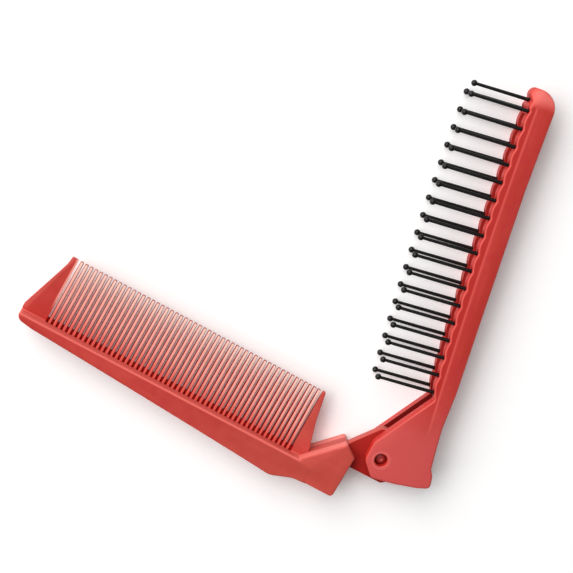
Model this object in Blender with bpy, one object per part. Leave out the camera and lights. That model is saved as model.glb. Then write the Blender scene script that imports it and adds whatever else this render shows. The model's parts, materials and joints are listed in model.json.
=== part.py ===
"""Folding pocket comb: a fine-toothed comb arm that folds into a slotted arm with ball-tipped pins.

Both arms share one local frame. Its origin is on the hinge axis, +X runs along the arm towards
its free end, and +Z is up through the thickness. The pins point to +Y. The teeth point to -Y, so
turning both arms to the same angle closes the comb. The object lies on its side, partly open.
"""

import math

import bmesh
import bpy
from mathutils import Matrix, Vector

# Lengths are in millimetres, and become metres when a mesh or a placement is made.
MM = 0.001

# Whole object
THICKNESS = 9.9
MIDDLE = THICKNESS / 2
OPENING = math.radians(77.3)
BRUSH_HEADING = math.radians(102.7)
CLEARANCE = 0.3

# Hinge
EAR_SLOT_WIDTH = 3.4
TONGUE_THICKNESS = EAR_SLOT_WIDTH - 2 * CLEARANCE
TONGUE_RADIUS = 7.3
TONGUE_TOP_ANGLE = -63.0
TONGUE_BACK_ANGLE = -239.0
TONGUE_TOP_ROOT = (10.5, 3.2)
TONGUE_BACK_ROOT = (8.0, 6.4)
HINGE_PIN_RADIUS = 1.35
HINGE_HOLE_RADIUS = HINGE_PIN_RADIUS + CLEARANCE
HINGE_PIN_RECESS = 1.5

# Comb arm: the ledge is the flat face that the teeth stand on
LEDGE = 9.77
SPINE_START = 13.8
SPINE_END = 98.1
SPINE_DEPTH_AT_END = 2.4
SPINE_SLOPE = 0.061
SPINE_CURVE = 0.0001
SPINE_DEEPEST_AT = 23.6
SPINE_BACK_STATIONS = 6
KNUCKLE_THICKNESS = THICKNESS - 0.4
KNUCKLE_SHOULDER = 6.05
KNUCKLE_BACK = 14.7

# Teeth
GAP_COUNT = 53
TOOTH_PITCH = 1.336
FIRST_GAP = 21.16
GAP_ROOT_WIDTH = 0.66
GAP_TIP_WIDTH = 0.82
GAP_BOTTOM = LEDGE - 0.25
TOOTH_TIP = -7.7
GUARD_TIP = -7.78
PLATE_ROOT_THICKNESS = 2.7
PLATE_TIP_THICKNESS = 1.4
PLATE_SUNK_TO = LEDGE + 1.1
HINGE_GUARD_EDGE = ((16.0, PLATE_SUNK_TO), (16.5, 7.8), (18.75, 0.0), (20.4, GUARD_TIP))
FREE_GUARD_EDGE = (
    (92.5, GUARD_TIP),
    (92.75, -5.9),
    (93.85, -1.8),
    (95.8, 3.5),
    (97.55, 8.6),
    (97.5, LEDGE),
    (96.5, PLATE_SUNK_TO),
)

# Brush arm: the rim is the crest between the pins
RIM_MIDDLE = 56.4
RIM_AT_MIDDLE = -6.46
RIM_FALL = 0.00056
NOTCH_DEPTH = 0.45
SLOT_FLOOR = -9.5
SLOT_END = 93.7
TIP_SLOPE_START = 96.0
TIP_SLOPE_END = 100.6
TIP_THICKNESS = 6.4

# Pins
PINS_IN_ROW = 17
FIRST_PIN = 20.56
PIN_PITCH = 4.628
ROW_OFFSET = 3.4
END_PIN = 97.2
END_PIN_SHORTER = 0.4
PIN_RADIUS = 0.35
BALL_RADIUS = 0.75
PIN_REACH = 14.8
SOCKET_RADIUS = 0.7
SOCKET_DEPTH = 2.0

# Corner tables: x, y and corner radius
KNUCKLE_CORNERS = (
    (KNUCKLE_SHOULDER, 2.85, 0.0),
    (9.5, 0.45, 0.5),
    (20.0, 11.47, 0.0),
    (20.0, 13.5, 0.0),
    (14.2, 14.4, 0.0),
    (13.9, KNUCKLE_BACK, 0.0),
    (KNUCKLE_SHOULDER, KNUCKLE_BACK, 1.0),
)
EAR_CORNERS = (
    (4.1, 3.16, 2.5),
    (-1.0, 4.03, 2.5),
    (-5.24, 1.0, 1.6),
    (-5.24, -4.86, 4.0),
    (-4.75, -10.8, 4.0),
    (-3.95, -14.45, 1.2),
    (-0.8, -14.15, 1.5),
    (1.2, -13.2, 1.5),
)
BRUSH_BACK_CORNERS = (
    (6.7, -12.65, 4.0),
    (12.3, -12.45, 4.0),
    (23.0, -13.1, 8.0),
    (45.0, -12.95, 0.0),
    (76.0, -13.0, 0.0),
    (86.0, -13.35, 0.0),
)
TIP_CORNERS = (
    (TIP_SLOPE_END, -13.8, 4.4),
    (TIP_SLOPE_END, -6.9, 1.4),
    (98.6, -7.2, 0.6),
)
SLOT_CORNERS = (
    (-10.0, 10.0, 0.0),
    (-10.0, -20.0, 0.0),
    (2.5, -20.0, 0.0),
    (6.2, SLOT_FLOOR, 1.5),
    (SLOT_END, SLOT_FLOOR, 1.5),
    (SLOT_END, 10.0, 0.0),
)


def make_material(name, colour, roughness):
    """A plain plastic."""
    material = bpy.data.materials.new(name)
    material.use_nodes = True
    shader = material.node_tree.nodes["Principled BSDF"]
    shader.inputs["Base Color"].default_value = (*colour, 1.0)
    shader.inputs["Roughness"].default_value = roughness
    shader.inputs["Metallic"].default_value = 0.0
    return material


def round_corners(corners, steps=4):
    """The closed outline through corners, with an arc at each corner that has a radius."""
    outline = []
    for index, (x, y, radius) in enumerate(corners):
        corner = Vector((x, y))
        if radius == 0.0:
            outline.append(corner)
            continue
        before = Vector(corners[index - 1][:2]) - corner
        after = Vector(corners[(index + 1) % len(corners)][:2]) - corner
        half_angle = before.angle(after) / 2
        setback = radius / math.tan(half_angle)
        inward = (before.normalized() + after.normalized()).normalized()
        middle = corner + inward * radius / math.sin(half_angle)
        start = corner + before.normalized() * setback - middle
        sweep = start.angle_signed(corner + after.normalized() * setback - middle)
        for step in range(steps + 1):
            turn = -sweep * step / steps
            turned = Vector((
                start.x * math.cos(turn) - start.y * math.sin(turn),
                start.x * math.sin(turn) + start.y * math.cos(turn),
            ))
            outline.append(middle + turned)
    return outline


def arc(radius, first, last, steps):
    """Points on a circle about the hinge axis, by angles in degrees."""
    angles = (math.radians(first + (last - first) * step / steps) for step in range(steps + 1))
    return [Vector((radius * math.cos(angle), radius * math.sin(angle))) for angle in angles]


def make_object(name, shape, material=None):
    """The object that holds a finished bmesh."""
    bmesh.ops.recalc_face_normals(shape, faces=shape.faces)
    mesh = bpy.data.meshes.new(name)
    shape.to_mesh(mesh)
    shape.free()
    if material:
        mesh.materials.append(material)
    made = bpy.data.objects.new(name, mesh)
    bpy.context.scene.collection.objects.link(made)
    return made


def make_slab(name, outline, thickness_at, material=None):
    """An outline made solid about the middle plane, as thick as thickness_at(point) says."""
    shape = bmesh.new()
    verts = []
    for point in outline:
        height = MIDDLE + thickness_at(point) / 2
        verts.append(shape.verts.new((point.x * MM, point.y * MM, height * MM)))
    top = shape.faces.new(verts)
    below = bmesh.ops.extrude_face_region(shape, geom=[top], use_keep_orig=True)
    for vert in (item for item in below["geom"] if isinstance(item, bmesh.types.BMVert)):
        vert.co.z = THICKNESS * MM - vert.co.z
    bmesh.ops.triangulate(shape, faces=shape.faces)
    return make_object(name, shape, material)


def make_turned(name, profile, sides, material=None):
    """A profile of radius and height turned round local +Z."""
    shape = bmesh.new()
    verts = [shape.verts.new((radius * MM, 0.0, height * MM)) for radius, height in profile]
    edges = [shape.edges.new(pair) for pair in zip(verts, verts[1:])]
    bmesh.ops.spin(
        shape,
        geom=verts + edges,
        cent=(0.0, 0.0, 0.0),
        axis=(0.0, 0.0, 1.0),
        angle=math.tau,
        steps=sides,
        use_merge=True,
    )
    bmesh.ops.remove_doubles(shape, verts=shape.verts, dist=0.000001)
    made = make_object(name, shape, material)
    made.data.shade_smooth()
    made.data.set_sharp_from_angle(angle=math.radians(40))
    return made


def add_boolean(target, tool, operation):
    """Cut the tool from the target, or join it on, and leave the tool out of the model."""
    modifier = target.modifiers.new(f"{operation.lower()} {tool.name}", "BOOLEAN")
    modifier.operation = operation
    modifier.solver = "EXACT"
    modifier.object = tool
    tool.hide_render = True
    tool.display_type = "WIRE"


def rim_at(x):
    """Height of the rim's crest line, which bows gently along the arm."""
    return RIM_AT_MIDDLE - RIM_FALL * (x - RIM_MIDDLE) ** 2


def notch_at(x):
    """Height of the rim at a pin that stands at x."""
    return rim_at(x) - NOTCH_DEPTH


def spine_back_at(x):
    """Height of the comb's back, which deepens towards the hinge."""
    run = SPINE_END - 3.5 - x
    return LEDGE + SPINE_DEPTH_AT_END + SPINE_SLOPE * run + SPINE_CURVE * run ** 2


def pin_stations():
    """Where the pins of a row stand along the arm."""
    return [FIRST_PIN + PIN_PITCH * index for index in range(PINS_IN_ROW)]


def spine_outline():
    """The bar that carries the teeth, from the knuckle to the rounded free end."""
    corners = [
        (SPINE_START, LEDGE, 1.3),
        (SPINE_END, LEDGE, 0.45),
        (SPINE_END - 1.2, LEDGE + 1.9, 1.6),
    ]
    first = SPINE_END - 5.0
    last = SPINE_DEEPEST_AT + 6.0
    for step in range(SPINE_BACK_STATIONS):
        x = first + (last - first) * step / (SPINE_BACK_STATIONS - 1)
        corners.append((x, spine_back_at(x), 0.0))
    corners.append((SPINE_DEEPEST_AT - 0.5, spine_back_at(SPINE_DEEPEST_AT) + 0.1, 2.5))
    corners.append((17.6, KNUCKLE_BACK + 0.35, 4.0))
    corners.append((SPINE_START, KNUCKLE_BACK + 0.02, 0.0))
    return round_corners(corners)


def tongue_outline():
    """The thin plate between the ears: a round lobe with two straight sides into the knuckle."""
    lobe = arc(TONGUE_RADIUS, TONGUE_TOP_ANGLE, TONGUE_BACK_ANGLE, 16)
    return [Vector(TONGUE_TOP_ROOT)] + lobe + [Vector(TONGUE_BACK_ROOT)]


def tooth_plate_outline():
    """The plate of the teeth: a guard at each end and a tapered gap beside every tooth."""
    outline = [Vector(corner) for corner in HINGE_GUARD_EDGE]
    for index in range(GAP_COUNT):
        middle = FIRST_GAP + TOOTH_PITCH * index
        entry = GUARD_TIP if index == 0 else TOOTH_TIP
        leaving = GUARD_TIP if index == GAP_COUNT - 1 else TOOTH_TIP
        outline.append(Vector((middle - GAP_TIP_WIDTH / 2, entry)))
        outline.append(Vector((middle - GAP_ROOT_WIDTH / 2, GAP_BOTTOM)))
        outline.append(Vector((middle + GAP_ROOT_WIDTH / 2, GAP_BOTTOM)))
        outline.append(Vector((middle + GAP_TIP_WIDTH / 2, leaving)))
    outline.extend(Vector(corner) for corner in FREE_GUARD_EDGE)
    return outline


def plate_thickness_at(point):
    """The plate thins evenly from the ledge to the tips of the teeth."""
    fall = (LEDGE - point.y) / (LEDGE - TOOTH_TIP)
    return PLATE_ROOT_THICKNESS + (PLATE_TIP_THICKNESS - PLATE_ROOT_THICKNESS) * fall


def brush_outline():
    """The ears, the straight back, the rounded tip and the scalloped rim."""
    corners = list(EAR_CORNERS + BRUSH_BACK_CORNERS + TIP_CORNERS)
    stops = pin_stations() + [END_PIN]
    crest = []
    for start, end in zip(stops, stops[1:]):
        for quarter in range(4):
            x = start + (end - start) * quarter / 4
            swell = math.sin(math.pi * quarter / 4)
            crest.append((x, notch_at(x) + NOTCH_DEPTH * swell, 0.0))
    crest.append((END_PIN, notch_at(END_PIN), 0.0))
    corners.extend(reversed(crest))
    corners.append((FIRST_PIN - 1.7, -8.16, 0.8))
    return round_corners(corners)


def slope_tip(arm):
    """Let both faces of the arm slope together from the last pins to the rounded end."""
    shape = bmesh.new()
    shape.from_mesh(arm.data)
    bmesh.ops.bisect_plane(
        shape,
        geom=shape.verts[:] + shape.edges[:] + shape.faces[:],
        dist=0.000001,
        plane_co=(TIP_SLOPE_START * MM, 0.0, 0.0),
        plane_no=(1.0, 0.0, 0.0),
    )
    for vert in shape.verts:
        share = (vert.co.x / MM - TIP_SLOPE_START) / (TIP_SLOPE_END - TIP_SLOPE_START)
        kept = 1.0 - (1.0 - TIP_THICKNESS / THICKNESS) * max(0.0, share)
        vert.co.z = MIDDLE * MM + (vert.co.z - MIDDLE * MM) * kept
    shape.to_mesh(arm.data)
    shape.free()


def socket_cutter():
    """The sockets that the pins stand in, as one set of separate drills."""
    shape = bmesh.new()
    seats = [(x, MIDDLE + side * ROW_OFFSET) for x in pin_stations() for side in (1, -1)]
    seats.append((END_PIN, MIDDLE))
    above = 3.0
    along_y = Matrix.Rotation(math.radians(-90), 4, "X") @ Matrix.Rotation(math.radians(22.5), 4, "Z")
    for x, z in seats:
        centre = notch_at(x) + (above - SOCKET_DEPTH) / 2
        bmesh.ops.create_cone(
            shape,
            cap_ends=True,
            segments=8,
            radius1=SOCKET_RADIUS * MM,
            radius2=SOCKET_RADIUS * MM,
            depth=(SOCKET_DEPTH + above) * MM,
            matrix=Matrix.Translation(Vector((x, centre, z)) * MM) @ along_y,
        )
    return make_object("socket_cutter", shape)


def hinge_hole_cutter(name):
    """A drill through the full thickness on the hinge axis."""
    below = -1.0
    above = THICKNESS + 1.0
    profile = ((0.0, below), (HINGE_HOLE_RADIUS, below), (HINGE_HOLE_RADIUS, above), (0.0, above))
    return make_turned(name, profile, 24)


def make_comb_arm(frame, plastic):
    """Knuckle, spine, tongue and tooth plate joined into one moulding."""
    arm = make_slab("comb_arm", round_corners(KNUCKLE_CORNERS), lambda point: KNUCKLE_THICKNESS, plastic)
    spine = make_slab("spine_form", spine_outline(), lambda point: THICKNESS)
    tongue = make_slab("tongue_form", tongue_outline(), lambda point: TONGUE_THICKNESS)
    plate = make_slab("tooth_plate_form", tooth_plate_outline(), plate_thickness_at)
    hole = hinge_hole_cutter("tongue_hole")
    for form in (spine, tongue, plate):
        add_boolean(arm, form, "UNION")
    add_boolean(arm, hole, "DIFFERENCE")
    for piece in (arm, spine, tongue, plate, hole):
        piece.parent = frame


def make_brush_arm(frame, plastic):
    """A solid bar with its fork and slot, pin sockets and hinge hole cut out."""
    arm = make_slab("brush_arm", brush_outline(), lambda point: THICKNESS, plastic)
    slope_tip(arm)
    slot = make_slab("slot_cutter", round_corners(SLOT_CORNERS), lambda point: EAR_SLOT_WIDTH)
    sockets = socket_cutter()
    hole = hinge_hole_cutter("ear_hole")
    for cutter in (sockets, slot, hole):
        add_boolean(arm, cutter, "DIFFERENCE")
    for piece in (arm, slot, sockets, hole):
        piece.parent = frame


def make_hinge_pin(frame, plastic):
    """The pin through ears and tongue, with both ends below the faces."""
    low = HINGE_PIN_RECESS
    high = THICKNESS - HINGE_PIN_RECESS
    profile = ((0.0, low), (HINGE_PIN_RADIUS, low), (HINGE_PIN_RADIUS, high), (0.0, high))
    make_turned("hinge_pin", profile, 24, plastic).parent = frame


def make_pin(name, frame, x, z, reach, nylon):
    """One ball-tipped pin that stands in its socket."""
    buried = SOCKET_DEPTH - CLEARANCE
    ball_centre = buried + reach
    profile = [(0.0, 0.0), (PIN_RADIUS, 0.0)]
    rings = 5
    neck = math.acos(PIN_RADIUS / BALL_RADIUS)
    for ring in range(rings):
        angle = -neck + (math.pi / 2 + neck) * ring / rings
        profile.append((BALL_RADIUS * math.cos(angle), ball_centre + BALL_RADIUS * math.sin(angle)))
    profile.append((0.0, ball_centre + BALL_RADIUS))
    pin = make_turned(name, profile, 8, nylon)
    pin.location = (x * MM, (notch_at(x) - buried) * MM, z * MM)
    pin.rotation_euler = (math.radians(-90), 0.0, 0.0)
    pin.parent = frame


def make_pins(frame, nylon):
    """Two rows along the rails, and one pin alone at the tip."""
    for index, x in enumerate(pin_stations(), start=1):
        make_pin(f"pin_near_{index:02d}", frame, x, MIDDLE + ROW_OFFSET, PIN_REACH, nylon)
        make_pin(f"pin_far_{index:02d}", frame, x, MIDDLE - ROW_OFFSET, PIN_REACH, nylon)
    make_pin("pin_end", frame, END_PIN, MIDDLE, PIN_REACH - END_PIN_SHORTER, nylon)


def make_frame(name, heading, parent):
    """An empty on the hinge axis that carries one arm."""
    frame = bpy.data.objects.new(name, None)
    frame.rotation_euler = (0.0, 0.0, heading)
    frame.parent = parent
    bpy.context.scene.collection.objects.link(frame)
    return frame


def centre_on_footprint(root):
    """Move the hinge so that the origin is at the middle of the object's box, underneath."""
    bpy.context.view_layer.update()
    graph = bpy.context.evaluated_depsgraph_get()
    points = []
    for item in bpy.context.scene.objects:
        if item.type != "MESH" or item.hide_render:
            continue
        shown = item.evaluated_get(graph)
        points.extend(item.matrix_world @ vert.co for vert in shown.data.vertices)
    root.location.x = -(min(point.x for point in points) + max(point.x for point in points)) / 2
    root.location.y = -(min(point.y for point in points) + max(point.y for point in points)) / 2
    bpy.context.view_layer.update()


def main():
    for item in list(bpy.data.objects):
        bpy.data.objects.remove(item, do_unlink=True)
    plastic = make_material("coral_plastic", (0.52, 0.055, 0.045), 0.3)
    nylon = make_material("black_nylon", (0.006, 0.006, 0.007), 0.35)
    hinge = make_frame("hinge_axis", 0.0, None)
    brush_frame = make_frame("brush_frame", BRUSH_HEADING, hinge)
    comb_frame = make_frame("comb_frame", BRUSH_HEADING + OPENING, hinge)
    make_comb_arm(comb_frame, plastic)
    make_brush_arm(brush_frame, plastic)
    make_hinge_pin(brush_frame, plastic)
    make_pins(brush_frame, nylon)
    centre_on_footprint(hinge)


main()
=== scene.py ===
"""Looks of a folding pocket comb: coral plastic mouldings and black ball-tipped nylon pins.

Both arms are modelled in one local frame, in millimetres. Its origin is on the hinge axis at the
middle of the thickness, +X runs along the arm to its free end and +Z is up. Pins point to +Y and
teeth to -Y. A finished piece is turned to its arm's heading and put on the hinge, in metres.
"""

import json
import math

import bmesh
import bpy
from mathutils import Matrix, Vector

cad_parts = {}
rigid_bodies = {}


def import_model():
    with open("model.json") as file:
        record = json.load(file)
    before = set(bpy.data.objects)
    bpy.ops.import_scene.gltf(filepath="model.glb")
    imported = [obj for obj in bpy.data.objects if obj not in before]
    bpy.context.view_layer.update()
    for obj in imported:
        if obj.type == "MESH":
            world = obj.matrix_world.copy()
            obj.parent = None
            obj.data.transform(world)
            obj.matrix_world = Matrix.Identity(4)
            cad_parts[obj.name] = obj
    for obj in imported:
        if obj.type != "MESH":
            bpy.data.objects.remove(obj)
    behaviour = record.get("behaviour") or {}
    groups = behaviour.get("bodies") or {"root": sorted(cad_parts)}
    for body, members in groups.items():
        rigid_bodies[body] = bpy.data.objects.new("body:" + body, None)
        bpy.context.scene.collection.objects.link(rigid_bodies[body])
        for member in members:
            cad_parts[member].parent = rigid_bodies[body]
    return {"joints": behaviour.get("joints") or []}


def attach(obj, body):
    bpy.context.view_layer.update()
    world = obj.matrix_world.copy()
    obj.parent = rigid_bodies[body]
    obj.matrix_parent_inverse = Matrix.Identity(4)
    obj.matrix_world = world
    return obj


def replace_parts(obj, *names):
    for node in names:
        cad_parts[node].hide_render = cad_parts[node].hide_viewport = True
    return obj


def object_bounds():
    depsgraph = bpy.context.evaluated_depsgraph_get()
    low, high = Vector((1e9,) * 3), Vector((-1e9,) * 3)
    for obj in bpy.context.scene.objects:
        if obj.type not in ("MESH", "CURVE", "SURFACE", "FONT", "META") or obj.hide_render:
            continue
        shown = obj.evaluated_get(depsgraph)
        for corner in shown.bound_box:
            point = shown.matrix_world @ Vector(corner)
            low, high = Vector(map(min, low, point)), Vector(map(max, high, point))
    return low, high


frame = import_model()
cad_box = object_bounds()

MM = 0.001
FOLD = frame["joints"][0]
HINGE = Vector(FOLD["pos_m"])
PIN_ARM = FOLD["parent"]
COMB = FOLD["child"]
BRUSH_HEADING = math.radians(102.7)
COMB_HEADING = math.pi

# Both arms
HALF = (cad_box[1].z - cad_box[0].z) / 2 / MM
EDGE = 0.55
EDGE_STEPS = 3
EAR_SLOT_WIDTH = 3.4
TONGUE_THICKNESS = 2.8
SMOOTH_ANGLE = math.radians(35.0)

# Hinge
HOLE_RADIUS = 1.65
HOLE_RIM_RADIUS = 1.9
HOLE_RIM_DEPTH = 0.25
HINGE_PIN_RADIUS = 1.4
HINGE_PIN_RECESS = 1.5
TONGUE_RADIUS = 7.3
TONGUE_EDGE = 0.25
TONGUE_FROM_DEGREES = -63.0
TONGUE_TO_DEGREES = -239.0
TONGUE_STEPS = 36
TONGUE_FIRST_CORNER = (10.5, 3.2, 0.0)
TONGUE_LAST_CORNER = (8.0, 6.4, 0.0)
ROUND_SIDES = 48

# Comb arm. The knuckle is a hair thinner than the spine, so that their faces never coincide.
LEDGE = 9.77
KNUCKLE_HALF = HALF - 0.02
KNUCKLE_BACK = 14.7
SPINE_START = 13.8
SPINE_END = 98.1
SPINE_DEEPEST_AT = 23.6
SPINE_BACK_STATIONS = 12
SPINE_BACK_FROM = SPINE_END - 3.5
SPINE_BACK_DEPTH = 2.4
SPINE_BACK_SLOPE = 0.061
SPINE_BACK_CURVE = 0.0001

# Teeth. The lean is in millimetres sideways for each millimetre of length.
GAP_COUNT = 53
TOOTH_PITCH = 1.336
FIRST_GAP = 21.16
TOOTH_TIP = -7.7
TOOTH_ROOT = LEDGE + 1.0
TOOTH_WIDTH = 1.0
TOOTH_CREST_WIDTH = 0.68
TOOTH_TIP_SHARE = 0.93
TOOTH_EDGE = 0.1
LEANING_TEETH = 5
LEAN = 0.02
GUARD_TIP = -7.78
GUARD_ROOT = LEDGE + 1.1
GUARD_EDGE = 0.3
GUARD_SHARP_ANGLE = 1.2
PLATE_ROOT_THICKNESS = 2.7
PLATE_TIP_THICKNESS = 1.4
WEB_HEIGHT = 1.0
WEB_SUNK = 1.0
WEB_THICKNESS = 0.9
WEB_OVERLAP = 0.6

# Brush arm
RIM_MIDDLE = 56.4
RIM_AT_MIDDLE = -6.46
RIM_FALL = 0.00056
NOTCH_DEPTH = 0.45
SCALLOP_STEPS = 8
SLOT_FLOOR = -9.5
SLOT_END = 93.7
CREASE_AT_MIDDLE = -8.45
CREASE_FALL = 0.00036
TIP_END = 100.52
TIP_SLOPE_FROM = 95.6
TIP_SLOPE_DROP = 2.1
TIP_SLOPE_CURVE = 1.25
TIP_SIDE_FROM = -10.6
TIP_SIDE_WIDTH = 3.6
TIP_SIDE_DROP = 2.2
TIP_SCORES_ALONG = (95.6, 96.4, 97.2, 98.0, 98.8, 99.6)
TIP_SCORES_ACROSS = (-12.6, -11.4, -10.2, -9.0, -8.2, -7.5)

# Pins and their sockets
PINS_IN_ROW = 17
FIRST_PIN = 20.56
PIN_PITCH = 4.628
ROW_OFFSET = 3.4
END_PIN = 97.2
PIN_REACH = 14.8
END_PIN_REACH = 14.4
PIN_SIDES = 16
SHAFT_FOOT_RADIUS = 0.48
SHAFT_NECK_RADIUS = 0.4
BALL_RADIUS = 0.8
BALL_RINGS = 9
SOCKET_RADIUS = 0.85
SOCKET_STRETCH = 1.3
SOCKET_SHIFT = 0.3
SOCKET_DEPTH = 1.9
SOCKET_SIDES = 20
PIN_BURIED = SOCKET_DEPTH - 0.3

# Turns a shape that points along +Z to point along +Y, as the pins do
UPRIGHT = Matrix.Rotation(math.radians(-90.0), 4, "X")

# Corner tables: x, y and corner radius
KNUCKLE_CORNERS = (
    (6.05, 2.85, 0.0),
    (9.5, 0.45, 0.6),
    (20.0, 11.35, 0.0),
    (20.0, 13.2, 0.0),
    (14.4, 14.2, 0.0),
    (13.9, KNUCKLE_BACK, 0.0),
    (6.05, KNUCKLE_BACK, 1.0),
)
EAR_CORNERS = (
    (4.1, 3.16, 2.5),
    (-1.0, 4.03, 2.5),
    (-5.24, 1.0, 1.6),
    (-5.24, -4.86, 4.0),
    (-4.75, -10.8, 4.0),
    (-3.95, -14.45, 1.2),
    (-0.8, -14.15, 1.5),
    (1.2, -13.2, 1.5),
)
BRUSH_BACK_CORNERS = (
    (6.7, -12.8, 4.0),
    (12.3, -12.55, 4.0),
    (22.0, -13.12, 8.0),
    (42.0, -13.05, 12.0),
    (76.0, -13.05, 12.0),
    (86.0, -13.35, 12.0),
)
TIP_CORNERS = (
    (TIP_END, -13.8, 4.4),
    (TIP_END, -6.9, 1.5),
    (98.6, -7.2, 0.6),
)
RIM_START_CORNER = (FIRST_PIN - 1.7, -8.16, 0.8)
SLOT_CORNERS = (
    (-10.0, 10.0, 0.0),
    (-10.0, -20.0, 0.0),
    (2.5, -20.0, 0.0),
    (6.2, SLOT_FLOOR, 1.5),
    (SLOT_END, SLOT_FLOOR, 1.5),
    (SLOT_END, 10.0, 0.0),
)
HINGE_GUARD_CORNERS = (
    (15.9, GUARD_ROOT, 0.0),
    (16.5, 7.8, 0.0),
    (18.8, 0.0, 20.0),
    (20.35, GUARD_TIP, 0.2),
    (21.15, GUARD_TIP, 0.2),
    (20.82, GUARD_ROOT, 0.0),
)
FREE_GUARD_CORNERS = (
    (90.93, GUARD_ROOT, 0.0),
    (91.0, GUARD_TIP, 0.1),
    (92.65, GUARD_TIP, 0.15),
    (93.0, -5.4, 3.0),
    (97.75, 8.6, 0.6),
    (97.4, LEDGE + 0.6, 0.0),
    (96.5, GUARD_ROOT, 0.0),
)

# Camera, in millimetres from the hinge axis at the middle of the thickness
CAMERA_AT = Vector((-94.36, 85.59, 347.45))
CAMERA_AIM = Vector((-42.74, 26.88, 0.0))
CAMERA_UP = math.radians(119.64)
CAMERA_LENS = 89.43

# The colour sockets of a Mix node share their names with others, so they go by number
MIX_FACTOR = 0
MIX_FIRST = 6
MIX_SECOND = 7
MIX_RESULT = 2


def colour(red, green, blue):
    """An sRGB colour of 0 to 255, as the linear colour of a socket."""
    linear = []
    for channel in (red, green, blue):
        share = channel / 255
        linear.append(share / 12.92 if share <= 0.04045 else ((share + 0.055) / 1.055) ** 2.4)
    return (*linear, 1.0)


WHITE = colour(255, 255, 255)
PAPER_DULL = colour(248, 248, 248)
PAPER_BRIGHT = colour(251, 251, 251)

# Coral plastic of both arms
CLOUD_RED = colour(184, 46, 50)
# Painted highlight on the rounded edges of both arms
EDGE_HIGHLIGHT = colour(226, 92, 82)

# Brush arm
BRUSH_DEEP = colour(184, 52, 44)
BRUSH_LIGHT = colour(196, 64, 57)
# Painted shade on the sloping strip between the crease and the rim
RIM_STRIP_SHADE = colour(176, 34, 28)
# Painted highlight along the crease
CREASE_HIGHLIGHT = colour(222, 90, 80)
# Painted highlight on the chamfer round the hinge hole
HINGE_RING_HIGHLIGHT = colour(240, 130, 122)
# Painted pool of light on the ears' faces
EAR_LIGHT_POOL = colour(218, 92, 90)
# Painted shade: a deeper red on the rim's side walls, in place of the pale sheen they catch
WALL_SHADE = colour(200, 40, 33)
# Painted highlight on the domed tip
TIP_HIGHLIGHT = colour(226, 112, 105)
# Painted shade inside the pin sockets
SOCKET_SHADE = colour(96, 8, 6)
# Painted shade inside the slot: deepest between the ears, lighter along the arm
FORK_SHADE = colour(112, 10, 7)
SLOT_SHADE = colour(168, 34, 28)

# Comb arm
COMB_DEEP = colour(190, 62, 54)
# Painted light paler towards the hinge end, and painted shade deeper towards the free end
COMB_LIGHT = colour(202, 75, 66)
HINGE_END_LIGHT = colour(206, 90, 78)
FREE_END_SHADE = colour(184, 44, 34)
# Painted highlight along the ledge
LEDGE_HIGHLIGHT = colour(238, 114, 104)
# Painted highlights on the free guard's inner and outer edges
GUARD_INNER_HIGHLIGHT = colour(244, 160, 146)
GUARD_OUTER_HIGHLIGHT = colour(222, 104, 94)
# Painted shade at the bottoms of the gaps between the teeth
GAP_BOTTOM_SHADE = colour(186, 22, 15)
# Painted shade on the tongue, recessed between the ears
TONGUE_SHADE = colour(164, 30, 24)
# Painted highlight on the knuckle's sloping top
KNUCKLE_HIGHLIGHT = colour(236, 122, 112)

# Teeth
# Painted shade on the teeth's flanks
FLANK_SHADE_DEEP = colour(166, 20, 14)
FLANK_SHADE_LIGHT = colour(184, 34, 27)
FLANK_SHADE_TIP = colour(160, 44, 34)
# Painted light on the teeth's crests, paler towards the tips
CREST_LIGHT_ROOT = colour(222, 88, 76)
CREST_LIGHT_MIDDLE = colour(246, 162, 149)
CREST_LIGHT_TIP = colour(249, 204, 190)

# Pins
NYLON_BLACK = colour(5, 5, 6)
NYLON_DUST = colour(16, 15, 16)
# Painted shade on the recessed hinge pin, darker towards its rim
HINGE_PIN_SHADE_MIDDLE = colour(176, 52, 48)
HINGE_PIN_SHADE_OUTER = colour(138, 26, 22)


class Value:
    """A shader socket that takes part in Python arithmetic."""

    def __init__(self, sheet, socket):
        self.sheet = sheet
        self.socket = socket

    def _math(self, operation, *inputs):
        node = self.sheet.add("ShaderNodeMath", {"operation": operation}, dict(enumerate(inputs)))
        return node.out("Value")

    def __add__(self, other):
        return self._math("ADD", self, other)

    __radd__ = __add__

    def __sub__(self, other):
        return self._math("SUBTRACT", self, other)

    def __rsub__(self, other):
        return self._math("SUBTRACT", other, self)

    def __mul__(self, other):
        return self._math("MULTIPLY", self, other)

    __rmul__ = __mul__

    def __abs__(self):
        return self._math("ABSOLUTE", self)

    def power(self, other):
        return self._math("POWER", self, other)

    def larger(self, other):
        return self._math("MAXIMUM", self, other)

    def over(self, low, high):
        """0 below low, 1 above high and smooth between them."""
        inputs = {"Value": self, "From Min": low, "From Max": high}
        node = self.sheet.add("ShaderNodeMapRange", {"interpolation_type": "SMOOTHSTEP"}, inputs)
        return node.out("Result")

    def under(self, low, high):
        """1 below low, 0 above high and smooth between them."""
        return 1.0 - self.over(low, high)

    def band(self, start, full, fading, end):
        """1 from full to fading, and 0 before start and after end."""
        return self.over(start, full) * self.under(fading, end)


class Node:
    """One shader node of a sheet."""

    def __init__(self, sheet, node):
        self.sheet = sheet
        self.node = node

    def out(self, name):
        """An output, by its name or number."""
        return Value(self.sheet, self.node.outputs[name])


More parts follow.
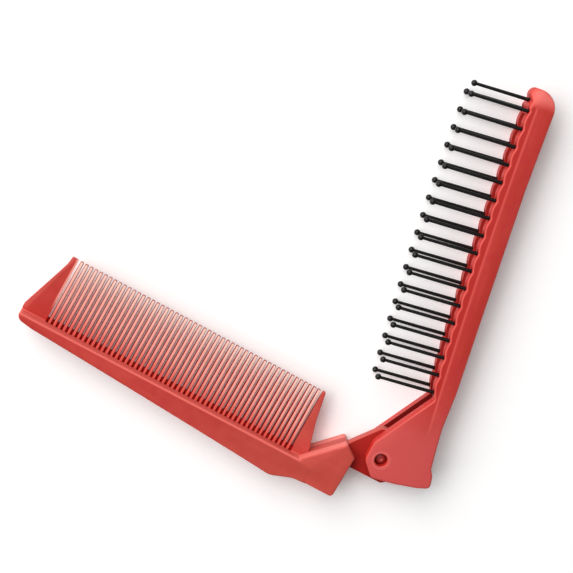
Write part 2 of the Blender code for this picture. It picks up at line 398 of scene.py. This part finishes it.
class Sheet:
    """The node tree of one material."""

    def __init__(self, name):
        self.material = bpy.data.materials.new(name)
        self.material.use_nodes = True
        self.tree = self.material.node_tree
        self.shader = self.tree.nodes["Principled BSDF"]

    def add(self, kind, settings=None, inputs=None):
        """A node of a kind, with its settings made first and then its sockets filled."""
        node = self.tree.nodes.new(kind)
        for name, value in (settings or {}).items():
            setattr(node, name, value)
        for name, value in (inputs or {}).items():
            self.fill(node.inputs[name], value)
        return Node(self, node)

    def fill(self, socket, value):
        """Link a value to a socket, or set the socket to it."""
        if isinstance(value, Value):
            self.tree.links.new(value.socket, socket)
        else:
            socket.default_value = value

    def finish(self, **inputs):
        """Fill the shader's sockets, with _ for a space in a name, and return the material."""
        for name, value in inputs.items():
            self.fill(self.shader.inputs[name.replace("_", " ")], value)
        return self.material

    def mix(self, factor, first, second):
        """One colour blended into another."""
        inputs = {MIX_FACTOR: factor, MIX_FIRST: first, MIX_SECOND: second}
        return self.add("ShaderNodeMix", {"data_type": "RGBA"}, inputs).out(MIX_RESULT)

    def arm_place(self, heading):
        """Object coordinates turned into the local frame of an arm, in millimetres."""
        place = self.add("ShaderNodeTexCoord").out("Object")
        shifted = self.add("ShaderNodeVectorMath", {"operation": "SUBTRACT"}, {0: place, 1: HINGE})
        turned_inputs = {"Vector": shifted.out("Vector"), "Angle": -heading}
        turned_place = self.add("ShaderNodeVectorRotate", {"rotation_type": "Z_AXIS"}, turned_inputs)
        scaled_inputs = {0: turned_place.out("Vector"), "Scale": 1 / MM}
        scaled = self.add("ShaderNodeVectorMath", {"operation": "SCALE"}, scaled_inputs)
        return scaled.out("Vector")

    def flatness(self):
        """How squarely the surface faces up or down, from 0 to 1."""
        upward = self.split(self.add("ShaderNodeTexCoord").out("Normal"))[2]
        return upward * upward

    def split(self, vector):
        """The three numbers of a vector."""
        node = self.add("ShaderNodeSeparateXYZ", None, {"Vector": vector})
        return node.out("X"), node.out("Y"), node.out("Z")

    def noise(self, place, scale, detail, roughness):
        """Cloudy noise between 0 and 1."""
        inputs = {"Vector": place, "Scale": scale, "Detail": detail, "Roughness": roughness}
        return self.add("ShaderNodeTexNoise", None, inputs).out("Fac")

    def stretched(self, vector, scale):
        """A vector scaled by a different amount along each axis."""
        node = self.add("ShaderNodeVectorMath", {"operation": "MULTIPLY"}, {0: vector, 1: scale})
        return node.out("Vector")

    def bump(self, height, strength, distance):
        """A normal raised by a height."""
        inputs = {"Strength": strength, "Distance": distance, "Height": height}
        return self.add("ShaderNodeBump", None, inputs).out("Normal")


def moulded_plastic(name, heading, deep, light, add_marks):
    """Satin coral plastic with faint flow marks, a fine grain, small scratches and a painted highlight on
    its rounded edges.
    """
    sheet = Sheet(name)
    place = sheet.arm_place(heading)
    flat = sheet.flatness()
    # Painted highlight: edges that are neither flat nor upright are painted paler
    edge = flat.band(0.04, 0.35, 0.7, 0.97)
    flow = sheet.noise(sheet.stretched(place, (0.03, 0.22, 0.22)), 1.0, 4.0, 0.6)
    cloud = sheet.noise(place, 0.35, 3.0, 0.55)
    grain = sheet.noise(place, 9.0, 2.0, 0.6)
    scratches = sheet.noise(sheet.stretched(place, (0.6, 14.0, 6.0)), 1.0, 2.0, 0.7).over(0.66, 0.74)
    tone = sheet.mix(flow.over(0.3, 0.7), deep, light)
    tone = sheet.mix(cloud.over(0.35, 0.75) * 0.5, tone, CLOUD_RED)
    tone = sheet.mix(edge * 0.7, tone, EDGE_HIGHLIGHT)
    tone, relief = add_marks(sheet, place, tone, flat)
    height = 0.4 * grain + 0.25 * flow - 0.5 * scratches + relief
    return sheet.finish(
        Base_Color=tone,
        Roughness=0.42 + 0.08 * cloud + 0.12 * scratches,
        Normal=sheet.bump(height, 0.12, 0.00008),
        IOR=1.5,
        Specular_IOR_Level=0.22,
    )


# In the marks, along, across and height are millimetres in the arm's frame, and a pair of numbers
# is where a soft edge starts and ends. Flat is the flatness of the surface, from 0 to 1.
def brush_marks(sheet, place, tone, flat):
    """The brush arm's painted highlights, light and shade, and the relief of its crease and of the ring at
    the hinge.
    """
    along, across, through = sheet.split(place)
    from_middle = along - RIM_MIDDLE
    bow = from_middle * from_middle
    face = flat.over(0.8, 0.97)

    # Painted light: the strip above the crease is painted darker as the shade of its slope, and the crease
    # paler as its highlight
    above_crease = across - (CREASE_AT_MIDDLE - CREASE_FALL * bow)
    extent = along.band(8.0, 12.0, 95.0, 97.5) * face
    shaded_strip = above_crease.over(0.0, 0.3) * extent
    crease = above_crease.band(-0.7, -0.15, -0.15, 0.25) * extent
    tone = sheet.mix(shaded_strip * 0.7, tone, RIM_STRIP_SHADE)
    tone = sheet.mix(crease * 0.65, tone, CREASE_HIGHLIGHT)

    # Painted highlight: a pale ring on the chamfer round the hinge hole
    from_hinge = (along * along + across * across).power(0.5)
    ring = from_hinge.band(1.9, 2.2, 2.3, 2.6)
    tone = sheet.mix(ring * 0.75, tone, HINGE_RING_HIGHLIGHT)
    # Painted light: the ears' flat faces are painted paler, as where more light falls
    lit_ear = along.under(4.0, 24.0) * face
    tone = sheet.mix(lit_ear * 0.7, tone, EAR_LIGHT_POOL)

    # Painted shade: the upright side walls of the rim are painted a deeper red
    shaded_wall = flat.under(0.0, 0.25) * across.over(-9.0, -8.6)
    tone = sheet.mix(shaded_wall * 0.8, tone, WALL_SHADE)
    # Painted highlight: the sloping dome at the tip is painted paler
    domed_highlight = along.over(95.8, 99.0) * flat.over(0.3, 0.7)
    tone = sheet.mix(domed_highlight * 0.8, tone, TIP_HIGHLIGHT)

    height = abs(through)
    below_notch = RIM_AT_MIDDLE - NOTCH_DEPTH - RIM_FALL * bow - across
    tone = paint_socket_shade(sheet, along, height, below_notch, tone)
    tone = paint_slot_shade(sheet, along, across, height, tone)
    return tone, 0.6 * crease - 0.6 * shaded_strip + 0.8 * ring


def paint_socket_shade(sheet, along, height, depth, tone):
    """Paint shade on the walls of the sockets, from a depth below the rim's notches."""
    rows = height.under(4.36, 4.4) * along.under(95.4, 95.6)
    end = height.under(0.9, 1.0) * along.band(95.6, 95.8, 98.6, 98.7)
    drilled = depth.band(0.1, 0.5, 3.0, 3.2) * (rows + end) * along.over(19.2, 19.4)
    return sheet.mix(drilled, tone, SOCKET_SHADE)


def paint_slot_shade(sheet, along, across, height, tone):
    """Paint shade inside the slot, deepest between the ears."""
    opened = across.over(-9.9, -9.7).larger(along.under(5.8, 6.4))
    inside = height.under(1.74, 1.9) * along.under(93.6, 93.9) * opened
    shade = sheet.mix(along.over(18.0, 26.0), FORK_SHADE, SLOT_SHADE)
    return sheet.mix(inside, tone, shade)


def comb_marks(sheet, place, tone, flat):
    """The comb arm's painted highlights, light and shade, and the slight relief of its ledge."""
    along, across, through = sheet.split(place)
    height = abs(through)
    # Painted light and shade: paler towards the hinge, darker towards the free end
    tone = sheet.mix(along.under(15.0, 60.0) * 0.4, tone, HINGE_END_LIGHT)
    tone = sheet.mix(along.over(50.0, 95.0) * 0.4, tone, FREE_END_SHADE)

    # Painted highlight: a pale band along the ledge's bevelled edge
    ledge = across.band(9.3, 9.6, 10.15, 10.35) * along.over(17.0, 19.0)
    tone = sheet.mix(ledge * 0.7, tone, LEDGE_HIGHLIGHT)

    # Painted highlights: a pale line on the free guard's inner edge and a paler band on its outer side
    inner_edge_highlight = along.band(90.6, 90.8, 91.3, 91.6) * across.under(2.0, 7.0)
    tone = sheet.mix(inner_edge_highlight * 0.85, tone, GUARD_INNER_HIGHLIGHT)
    from_edge = along - 92.3 - 0.3 * (across + 5.4)
    outer_edge_highlight = from_edge.over(0.0, 0.3) * across.under(8.6, 9.2) * along.over(92.0, 92.4)
    tone = sheet.mix(outer_edge_highlight * 0.3, tone, GUARD_OUTER_HIGHLIGHT)

    # Painted shade: the recessed bottoms of the gaps are painted deep red
    row = along.band(20.6, 20.8, 91.0, 91.2)
    bottom = height.under(1.38, 1.46) * row * across.band(8.0, 8.4, 10.3, 10.6)
    tone = sheet.mix(bottom, tone, GAP_BOTTOM_SHADE)

    # Painted shade: the tongue's flat faces are painted darker
    tongue = height.under(1.42, 1.7) * along.under(8.0, 10.0)
    tone = sheet.mix(tongue * flat.over(0.6, 0.9), tone, TONGUE_SHADE)
    # Painted highlight: the knuckle's upright sloping top is painted paler
    knuckle_highlight = height.over(1.6, 1.9) * along.band(8.5, 10.0, 19.0, 20.5)
    knuckle_highlight = knuckle_highlight * flat.under(0.05, 0.4) * across.under(11.5, 12.5)
    tone = sheet.mix(knuckle_highlight, tone, KNUCKLE_HIGHLIGHT)
    return tone, 0.3 * ledge


def tooth_plastic():
    """The same plastic in the fine teeth, with painted shade on the flanks and painted light on the crests
    that pales towards the tips.
    """
    sheet = Sheet("tooth_plastic")
    place = sheet.arm_place(COMB_HEADING)
    down = sheet.split(place)[1]
    rise = (LEDGE - down) * (1 / (LEDGE - TOOTH_TIP))
    flow = sheet.noise(sheet.stretched(place, (0.8, 0.12, 0.4)), 1.0, 3.0, 0.6)
    # Painted light and shade: crests facing up are painted pale, flanks are painted dark
    crest = sheet.flatness().over(0.45, 0.9)
    shaded_flank = sheet.mix(flow, FLANK_SHADE_DEEP, FLANK_SHADE_LIGHT)
    shaded_flank = sheet.mix(rise.over(0.6, 1.1), shaded_flank, FLANK_SHADE_TIP)
    pale = sheet.mix(rise.over(0.0, 0.5), CREST_LIGHT_ROOT, CREST_LIGHT_MIDDLE)
    pale = sheet.mix(rise.over(0.5, 1.1), pale, CREST_LIGHT_TIP)
    return sheet.finish(
        Base_Color=sheet.mix(crest, shaded_flank, pale),
        Roughness=0.28 + 0.1 * flow,
        Normal=sheet.bump(flow, 0.1, 0.00005),
        IOR=1.5,
        Specular_IOR_Level=0.35,
    )


def pin_nylon():
    """Black satin nylon with fine draw lines and a little dust."""
    sheet = Sheet("pin_nylon")
    place = sheet.arm_place(BRUSH_HEADING)
    lines = sheet.noise(sheet.stretched(place, (9.0, 0.5, 9.0)), 1.0, 2.0, 0.6)
    dust = sheet.noise(place, 2.5, 3.0, 0.6).over(0.5, 0.8)
    return sheet.finish(
        Base_Color=sheet.mix(dust * 0.5, NYLON_BLACK, NYLON_DUST),
        Roughness=0.3 + 0.2 * lines,
        Normal=sheet.bump(lines, 0.15, 0.00003),
        IOR=1.5,
        Specular_IOR_Level=0.4,
    )


def hinge_plastic():
    """The hinge pin's plastic, painted a shade deeper as the shade of its recess and darker still towards
    its rim, with turned rings on its ends.
    """
    sheet = Sheet("hinge_plastic")
    place = sheet.arm_place(BRUSH_HEADING)
    along, across = sheet.split(place)[:2]
    from_axis = (along * along + across * across).power(0.5)
    settings = {"wave_type": "RINGS", "rings_direction": "Z"}
    rings = sheet.add("ShaderNodeTexWave", settings, {"Vector": place, "Scale": 1.6}).out("Fac")
    return sheet.finish(
        Base_Color=sheet.mix(from_axis.over(0.3, 1.4), HINGE_PIN_SHADE_MIDDLE, HINGE_PIN_SHADE_OUTER),
        Roughness=0.35 + 0.1 * rings,
        Normal=sheet.bump(rings, 0.2, 0.00006),
        IOR=1.55,
    )


def floor_paper():
    """Matt white paper with a very faint tooth, and a faint glow that keeps it white."""
    sheet = Sheet("floor_paper")
    place = sheet.add("ShaderNodeTexCoord").out("Object")
    fibre = sheet.noise(place, 900.0, 3.0, 0.6)
    return sheet.finish(
        Base_Color=sheet.mix(fibre, PAPER_DULL, PAPER_BRIGHT),
        Roughness=0.9,
        Normal=sheet.bump(fibre, 0.05, 0.00002),
        Emission_Color=WHITE,
        Emission_Strength=0.12,
    )


def face_from_corners(shape, corners, height):
    """A flat face through corners, with an arc at each corner that has a radius."""
    verts = [shape.verts.new((x, y, height)) for x, y, radius in corners]
    shape.faces.new(verts)
    for index, (x, y, radius) in enumerate(corners):
        if radius == 0.0:
            continue
        before = Vector(corners[index - 1][:2]) - Vector((x, y))
        after = Vector(corners[(index + 1) % len(corners)][:2]) - Vector((x, y))
        bmesh.ops.bevel(
            shape,
            geom=[verts[index]],
            offset=radius / math.tan(before.angle(after) / 2),
            offset_type="OFFSET",
            segments=6,
            profile=0.5,
            affect="VERTICES",
            material=-1,
        )
    return shape.faces[:]


def round_edges(shape, edges, radius, steps):
    """Round off edges of a shape."""
    bmesh.ops.bevel(
        shape,
        geom=edges,
        offset=radius,
        offset_type="OFFSET",
        segments=steps,
        profile=0.5,
        affect="EDGES",
        clamp_overlap=True,
        material=-1,
    )


def slab(corners, half, edge=0.0):
    """An outline made solid about the middle plane, its rims rounded by edge."""
    shape = bmesh.new()
    faces = face_from_corners(shape, corners, half)
    below = bmesh.ops.extrude_face_region(shape, geom=faces, use_keep_orig=True)
    moved = [item for item in below["geom"] if isinstance(item, bmesh.types.BMVert)]
    bmesh.ops.translate(shape, verts=moved, vec=(0.0, 0.0, -2 * half))
    bmesh.ops.recalc_face_normals(shape, faces=shape.faces)
    if edge > 0.0:
        rims = [item for item in shape.edges if abs(item.verts[0].co.z - item.verts[1].co.z) < half]
        round_edges(shape, rims, edge, EDGE_STEPS)
    return shape


def turned(profile, sides):
    """A profile of radius and height turned round Z."""
    shape = bmesh.new()
    verts = [shape.verts.new((radius, 0.0, height)) for radius, height in profile]
    edges = [shape.edges.new(pair) for pair in zip(verts, verts[1:])]
    bmesh.ops.spin(
        shape,
        geom=verts + edges,
        cent=(0.0, 0.0, 0.0),
        axis=(0.0, 0.0, 1.0),
        angle=math.tau,
        steps=sides,
        use_merge=True,
    )
    bmesh.ops.remove_doubles(shape, verts=shape.verts, dist=0.0001)
    bmesh.ops.recalc_face_normals(shape, faces=shape.faces)
    return shape


def score(shape, faces, point, normal):
    """Split faces along a plane, so that they can bend there."""
    wanted = set(faces)
    verts = [vert for vert in shape.verts if any(face in wanted for face in vert.link_faces)]
    edges = [edge for edge in shape.edges if any(face in wanted for face in edge.link_faces)]
    geometry = verts + edges + faces
    bmesh.ops.bisect_plane(shape, geom=geometry, dist=0.00001, plane_co=point, plane_no=normal)


def make_piece(name, shape, material=None):
    """The object that holds a finished bmesh."""
    mesh = bpy.data.meshes.new(name)
    shape.to_mesh(mesh)
    shape.free()
    if material:
        mesh.materials.append(material)
    piece = bpy.data.objects.new(name, mesh)
    bpy.context.scene.collection.objects.link(piece)
    return piece


def combine(piece, tool, operation):
    """Cut the tool from a piece or join it on, and take the tool away."""
    modifier = piece.modifiers.new(operation, "BOOLEAN")
    modifier.operation = operation
    modifier.solver = "EXACT"
    modifier.object = tool
    graph = bpy.context.evaluated_depsgraph_get()
    mesh = bpy.data.meshes.new_from_object(piece.evaluated_get(graph))
    piece.modifiers.clear()
    piece.data = mesh
    bpy.data.objects.remove(tool, do_unlink=True)


def place_piece(piece, heading, body):
    """Turn a piece to its arm's heading, put it on the hinge in metres, and let it ride."""
    to_hinge = Matrix.Translation(HINGE) @ Matrix.Rotation(heading, 4, "Z") @ Matrix.Scale(MM, 4)
    piece.data.transform(to_hinge)
    piece.data.shade_smooth()
    piece.data.set_sharp_from_angle(angle=SMOOTH_ANGLE)
    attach(piece, body)


def rim_at(x):
    """Height of the rim's crest line, which bows gently along the arm."""
    return RIM_AT_MIDDLE - RIM_FALL * (x - RIM_MIDDLE) ** 2


def notch_at(x):
    """Height of the rim at a pin that stands at x."""
    return rim_at(x) - NOTCH_DEPTH


def pin_stations():
    """Where the pins of a row stand along the arm."""
    return [FIRST_PIN + PIN_PITCH * index for index in range(PINS_IN_ROW)]


def spine_back_at(x):
    """Height of the comb's back, which deepens towards the hinge."""
    run = SPINE_BACK_FROM - x
    return LEDGE + SPINE_BACK_DEPTH + SPINE_BACK_SLOPE * run + SPINE_BACK_CURVE * run ** 2


def spine_corners():
    """The bar that carries the teeth, from the knuckle to the rounded free end."""
    corners = [
        (SPINE_START, LEDGE, 1.3),
        (SPINE_END, LEDGE, 0.6),
        (SPINE_END - 1.2, LEDGE + 1.9, 1.6),
    ]
    first = SPINE_END - 5.0
    last = SPINE_DEEPEST_AT + 6.0
    for step in range(SPINE_BACK_STATIONS):
        x = first + (last - first) * step / (SPINE_BACK_STATIONS - 1)
        corners.append((x, spine_back_at(x), 0.0))
    corners.append((SPINE_DEEPEST_AT - 0.5, spine_back_at(SPINE_DEEPEST_AT) + 0.1, 4.0))
    corners.append((17.6, KNUCKLE_BACK + 0.35, 4.0))
    corners.append((SPINE_START, KNUCKLE_BACK + 0.02, 0.0))
    return corners


def tongue_corners():
    """The thin plate between the ears: a round lobe with two straight sides into the knuckle."""
    corners = [TONGUE_FIRST_CORNER]
    for step in range(TONGUE_STEPS + 1):
        swept = (TONGUE_TO_DEGREES - TONGUE_FROM_DEGREES) * step / TONGUE_STEPS
        angle = math.radians(TONGUE_FROM_DEGREES + swept)
        corners.append((TONGUE_RADIUS * math.cos(angle), TONGUE_RADIUS * math.sin(angle), 0.0))
    corners.append(TONGUE_LAST_CORNER)
    return corners


def brush_corners():
    """The ears, the straight back, the rounded tip and the scalloped rim."""
    corners = list(EAR_CORNERS + BRUSH_BACK_CORNERS + TIP_CORNERS)
    stops = pin_stations() + [END_PIN]
    crest = []
    for start, end in zip(stops, stops[1:]):
        for step in range(SCALLOP_STEPS):
            share = step / SCALLOP_STEPS
            x = start + (end - start) * share
            crest.append((x, notch_at(x) + NOTCH_DEPTH * math.sin(math.pi * share), 0.0))
    crest.append((END_PIN, notch_at(END_PIN), 0.0))
    corners.extend(reversed(crest))
    corners.append(RIM_START_CORNER)
    return corners


def plate_thickness(y):
    """The tooth plate thins evenly from the ledge to the tips."""
    share = (LEDGE - y) / (LEDGE - TOOTH_TIP)
    return PLATE_ROOT_THICKNESS + (PLATE_TIP_THICKNESS - PLATE_ROOT_THICKNESS) * share


def thin_to_tips(shape):
    """Thin a slab of unit half thickness to the plate's own thickness."""
    for vert in shape.verts:
        vert.co.z *= plate_thickness(vert.co.y) / 2


def make_tooth():
    """One tooth: a bar of six-sided section that narrows and thins to a rounded tip."""
    length = TOOTH_ROOT - TOOTH_TIP
    shape = bmesh.new()
    bmesh.ops.create_cube(shape, size=1.0)
    bmesh.ops.scale(shape, vec=(TOOTH_WIDTH, length, 2.0), verts=shape.verts)
    bmesh.ops.translate(shape, vec=(0.0, (TOOTH_ROOT + TOOTH_TIP) / 2, 0.0), verts=shape.verts)
    score(shape, shape.faces[:], (0.0, 0.0, 0.0), (0.0, 0.0, 1.0))
    crests = [vert for vert in shape.verts if abs(vert.co.z) > 0.5]
    bmesh.ops.scale(shape, vec=(TOOTH_CREST_WIDTH / TOOTH_WIDTH, 1.0, 1.0), verts=crests)
    tip = [vert for vert in shape.verts if vert.co.y < 0.0]
    bmesh.ops.scale(shape, vec=(TOOTH_TIP_SHARE, 1.0, 1.0), verts=tip)
    thin_to_tips(shape)
    long_edges = [edge for edge in shape.edges if abs(edge.verts[0].co.y - edge.verts[1].co.y) > length / 2]
    tip_edges = [edge for edge in shape.edges if max(vert.co.y for vert in edge.verts) < 0.0]
    round_edges(shape, long_edges + tip_edges, TOOTH_EDGE, 2)
    return shape


def add_shape(shape, part):
    """Join a finished bmesh onto another, and return the vertices that it brings."""
    pattern = bpy.data.meshes.new("part")
    part.to_mesh(pattern)
    part.free()
    before = len(shape.verts)
    shape.from_mesh(pattern)
    bpy.data.meshes.remove(pattern)
    shape.verts.ensure_lookup_table()
    return shape.verts[before:]


def make_teeth(material):
    """Fifty-two fine teeth in a row. The first few, beside the hinge, lean slightly."""
    shape = bmesh.new()
    for index in range(GAP_COUNT - 1):
        added = add_shape(shape, make_tooth())
        middle = FIRST_GAP + TOOTH_PITCH * (index + 0.5)
        lean = LEAN * max(0.0, 1.0 - index / LEANING_TEETH)
        for vert in added:
            vert.co.x += middle + lean * (LEDGE - vert.co.y)
    piece = make_piece("fine_teeth", shape, material)
    place_piece(piece, COMB_HEADING, COMB)


def make_guards(material):
    """The broad guard at each end of the teeth, and the low web at the bottom of the gaps."""
    shape = bmesh.new()
    for corners in (HINGE_GUARD_CORNERS, FREE_GUARD_CORNERS):
        guard = slab(corners, 1.0)
        thin_to_tips(guard)
        rims = [edge for edge in guard.edges if edge.calc_face_angle(0.0) > GUARD_SHARP_ANGLE]
        rims = [edge for edge in rims if abs(edge.verts[0].co.z - edge.verts[1].co.z) < 0.5]
        round_edges(guard, rims, GUARD_EDGE, 3)
        add_shape(shape, guard)
    start = FIRST_GAP - WEB_OVERLAP
    end = FIRST_GAP + TOOTH_PITCH * (GAP_COUNT - 1) + WEB_OVERLAP
    depth = WEB_HEIGHT + WEB_SUNK
    middle = ((start + end) / 2, LEDGE - WEB_HEIGHT + depth / 2, 0.0)
    web = bmesh.ops.create_cube(shape, size=1.0)
    bmesh.ops.scale(shape, vec=(end - start, depth, WEB_THICKNESS), verts=web["verts"])
    bmesh.ops.translate(shape, vec=middle, verts=web["verts"])
    piece = make_piece("guard_plates", shape, material)
    place_piece(piece, COMB_HEADING, COMB)


def make_comb_body(material):
    """Spine, knuckle and tongue, joined into one moulding and drilled for the hinge pin."""
    piece = make_piece("comb_body", slab(KNUCKLE_CORNERS, KNUCKLE_HALF, EDGE), material)
    combine(piece, make_piece("spine", slab(spine_corners(), HALF, EDGE)), "UNION")
    tongue = slab(tongue_corners(), TONGUE_THICKNESS / 2, TONGUE_EDGE)
    combine(piece, make_piece("tongue", tongue), "UNION")
    combine(piece, make_piece("hole", turned(hole_profile(0.0), ROUND_SIDES)), "DIFFERENCE")
    place_piece(piece, COMB_HEADING, COMB)
    return piece


def hole_profile(flare):
    """A drill for the hinge hole, straight with a flare of 0 and opened at both faces with 1."""
    beyond = HALF + 1.0
    wide = HOLE_RADIUS + (HOLE_RIM_RADIUS - HOLE_RADIUS) * flare
    widest = wide + flare * (beyond - HALF)
    return (
        (0.0, -beyond),
        (widest, -beyond),
        (wide, -HALF),
        (HOLE_RADIUS, -HALF + HOLE_RIM_DEPTH),
        (HOLE_RADIUS, HALF - HOLE_RIM_DEPTH),
        (wide, HALF),
        (widest, beyond),
        (0.0, beyond),
    )


def make_sockets():
    """The sockets that the pins stand in, a little longer than wide, as a set of separate drills."""
    shape = bmesh.new()
    seats = [(x, side * ROW_OFFSET) for x in pin_stations() for side in (1, -1)]
    seats.append((END_PIN, 0.0))
    above = 3.0
    stretch = Matrix.Diagonal((SOCKET_STRETCH, 1.0, 1.0, 1.0))
    for x, z in seats:
        centre = Vector((x + SOCKET_SHIFT, notch_at(x) + (above - SOCKET_DEPTH) / 2, z))
        bmesh.ops.create_cone(
            shape,
            cap_ends=True,
            segments=SOCKET_SIDES,
            radius1=SOCKET_RADIUS,
            radius2=SOCKET_RADIUS,
            depth=SOCKET_DEPTH + above,
            matrix=Matrix.Translation(centre) @ stretch @ UPRIGHT,
        )
    return shape


def slope_tip(shape):
    """Let both faces fall away in a dome towards the rounded end of the arm."""
    for x in TIP_SCORES_ALONG:
        score(shape, shape.faces[:], (x, 0.0, 0.0), (1.0, 0.0, 0.0))
    for y in TIP_SCORES_ACROSS:
        tip = [face for face in shape.faces if max(vert.co.x for vert in face.verts) > TIP_SLOPE_FROM + 0.1]
        score(shape, tip, (0.0, y, 0.0), (0.0, 1.0, 0.0))
    for vert in shape.verts:
        share = max(0.0, vert.co.x - TIP_SLOPE_FROM) / (TIP_END - TIP_SLOPE_FROM)
        aside = max(0.0, vert.co.y - TIP_SIDE_FROM) / TIP_SIDE_WIDTH
        drop = TIP_SLOPE_DROP * share ** TIP_SLOPE_CURVE + TIP_SIDE_DROP * share * aside ** 2
        vert.co.z *= 1.0 - drop / HALF


def make_brush_body(material):
    """A bar with its fork and slot, its pin sockets and the hinge hole cut out."""
    shape = slab(brush_corners(), HALF, EDGE)
    slope_tip(shape)
    piece = make_piece("brush_body", shape, material)
    combine(piece, make_piece("sockets", make_sockets()), "DIFFERENCE")
    combine(piece, make_piece("slot", slab(SLOT_CORNERS, EAR_SLOT_WIDTH / 2)), "DIFFERENCE")
    combine(piece, make_piece("hole", turned(hole_profile(1.0), ROUND_SIDES)), "DIFFERENCE")
    place_piece(piece, BRUSH_HEADING, PIN_ARM)
    return piece


def make_hinge_pin(material):
    """The pin through ears and tongue, each end raised a little round a small dimple."""
    end = HALF - HINGE_PIN_RECESS
    profile = (
        (0.0, -end + 0.12),
        (0.35, -end + 0.05),
        (0.6, -end - 0.1),
        (1.1, -end),
        (HINGE_PIN_RADIUS, -end + 0.25),
        (HINGE_PIN_RADIUS, end - 0.25),
        (1.1, end),
        (0.6, end + 0.1),
        (0.35, end - 0.05),
        (0.0, end - 0.12),
    )
    piece = make_piece("hinge_pin_turned", turned(profile, ROUND_SIDES), material)
    place_piece(piece, BRUSH_HEADING, PIN_ARM)
    return piece


def pin_profile(reach):
    """A slim shaft that tapers up to the neck of its ball."""
    centre = PIN_BURIED + reach
    profile = [(0.0, 0.0), (SHAFT_FOOT_RADIUS, 0.0), (SHAFT_FOOT_RADIUS, PIN_BURIED + 0.6)]
    neck = math.acos(SHAFT_NECK_RADIUS / BALL_RADIUS)
    for ring in range(BALL_RINGS):
        angle = -neck + (math.pi / 2 + neck) * ring / BALL_RINGS
        profile.append((BALL_RADIUS * math.cos(angle), centre + BALL_RADIUS * math.sin(angle)))
    profile.append((0.0, centre + BALL_RADIUS))
    return profile


def make_pin(name, node, x, z, reach, material):
    """One ball-tipped pin that stands in its socket."""
    shape = turned(pin_profile(reach), PIN_SIDES)
    stand = Matrix.Translation((x, notch_at(x) - PIN_BURIED, z)) @ UPRIGHT
    bmesh.ops.transform(shape, matrix=stand, verts=shape.verts)
    piece = make_piece(name, shape, material)
    place_piece(piece, BRUSH_HEADING, PIN_ARM)
    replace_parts(piece, node)


def make_pins(material):
    """Two rows along the rails, and one pin alone at the tip."""
    for index, x in enumerate(pin_stations(), start=1):
        for row, z in (("near", ROW_OFFSET), ("far", -ROW_OFFSET)):
            number = f"{row}_{index:02d}"
            make_pin(f"bristle_{number}", f"pin_{number}", x, z, PIN_REACH, material)
    make_pin("bristle_end", "pin_end", END_PIN, 0.0, END_PIN_REACH, material)


def make_floor():
    """A wide sheet of paper under the comb."""
    shape = bmesh.new()
    bmesh.ops.create_grid(shape, x_segments=1, y_segments=1, size=3.0)
    floor = make_piece("floor", shape, floor_paper())


def make_camera():
    """A camera that looks down at the comb, turned as the photograph is."""
    camera = bpy.data.objects.new("camera", bpy.data.cameras.new("camera"))
    camera.data.lens = CAMERA_LENS
    camera.data.sensor_width = 36.0
    camera.data.clip_start = 0.01
    camera.data.clip_end = 10.0
    ahead = (CAMERA_AIM - CAMERA_AT).normalized()
    hint = Vector((math.cos(CAMERA_UP), math.sin(CAMERA_UP), 0.0))
    right = ahead.cross(hint).normalized()
    up = right.cross(ahead)
    turn = Matrix((right, up, -ahead)).transposed()
    camera.matrix_world = Matrix.Translation(HINGE + CAMERA_AT * MM) @ turn.to_4x4()
    bpy.context.scene.collection.objects.link(camera)
    bpy.context.scene.camera = camera


def make_softbox(name, heading, elevation, distance, size, watts, tint):
    """A square soft light aimed at the middle of the comb."""
    light = bpy.data.lights.new(name, "AREA")
    light.shape = "SQUARE"
    light.size = size
    light.energy = watts
    light.color = tint
    lamp = bpy.data.objects.new(name, light)
    flat = math.cos(math.radians(elevation)) * distance
    lamp.location = (
        flat * math.cos(math.radians(heading)),
        flat * math.sin(math.radians(heading)),
        math.sin(math.radians(elevation)) * distance,
    )
    lamp.rotation_mode = "QUATERNION"
    lamp.rotation_quaternion = (-lamp.location).to_track_quat("-Z", "Y")
    bpy.context.scene.collection.objects.link(lamp)


def light_studio():
    """A large soft light from the upper left of the picture, a weaker one from its left, a pale room."""
    make_softbox("key", 148.0, 47.0, 1.8, 1.6, 35.0, (1.0, 0.99, 0.98))
    make_softbox("fill", 205.0, 42.0, 1.8, 1.4, 11.6, (1.0, 1.0, 1.0))
    world = bpy.data.worlds.new("pale room")
    world.use_nodes = True
    background = world.node_tree.nodes["Background"]
    background.inputs["Color"].default_value = WHITE
    background.inputs["Strength"].default_value = 0.18
    bpy.context.scene.world = world
    bpy.context.scene.view_settings.view_transform = "Standard"


comb_plastic = moulded_plastic("comb_plastic", COMB_HEADING, COMB_DEEP, COMB_LIGHT, comb_marks)
comb_body = make_comb_body(comb_plastic)
make_guards(comb_plastic)
make_teeth(tooth_plastic())
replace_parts(comb_body, "comb_arm")
brush_plastic = moulded_plastic("brush_plastic", BRUSH_HEADING, BRUSH_DEEP, BRUSH_LIGHT, brush_marks)
brush_body = make_brush_body(brush_plastic)
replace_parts(brush_body, "brush_arm")
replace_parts(make_hinge_pin(hinge_plastic()), "hinge_pin")
make_pins(pin_nylon())
make_floor()
make_camera()
light_studio()
